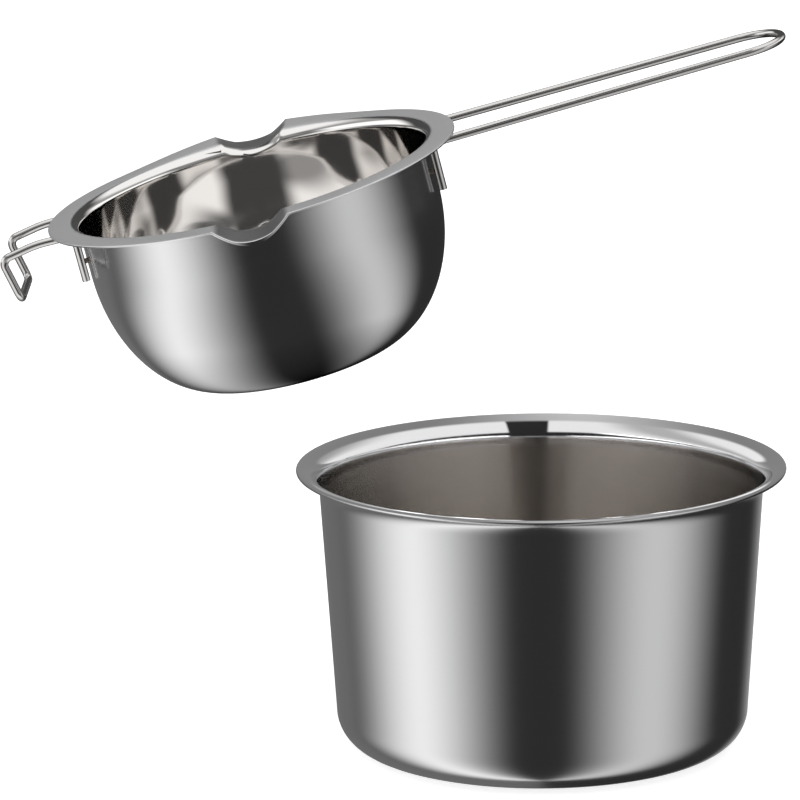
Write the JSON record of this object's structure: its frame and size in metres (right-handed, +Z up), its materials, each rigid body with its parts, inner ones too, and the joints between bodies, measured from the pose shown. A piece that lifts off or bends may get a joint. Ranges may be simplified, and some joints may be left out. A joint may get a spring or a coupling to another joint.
{
  "type": "wax melting pot",
  "caption": "Stainless steel wax melting pot with pour spouts, a long wire loop handle and a rim hook, lifted out of the plain water pot that it hangs in.",
  "frame": {"origin": "centre of the water pot's flat underside", "axes": "+Z up along the water pot's axis, +X towards the side where the long handle points, -Y towards the front spout"},
  "size_m": [0.2856, 0.18, 0.2615],
  "materials": {
    "water_pot_steel": "satin outside, brushed inside, polished rim",
    "bowl_steel": "satin outside, mirror polished inside",
    "wire_steel": "bright drawn",
    "weld_steel": "matt"
  },
  "bodies": {
    "water_pot_body": {"water_pot": "water_pot_steel"},
    "melting_pot_body": {"melting_bowl": "bowl_steel", "long_handle": "wire_steel", "rim_hook": "wire_steel", "handle_weld_front": "weld_steel", "handle_weld_rear": "weld_steel", "hook_weld_front": "weld_steel", "hook_weld_rear": "weld_steel"}
  },
  "joints": [
    {"name": "lift_out", "type": "slide", "parent": "water_pot_body", "child": "melting_pot_body", "axis": [0, 0, 1], "range_m": [0, 0.04]}
  ]
}
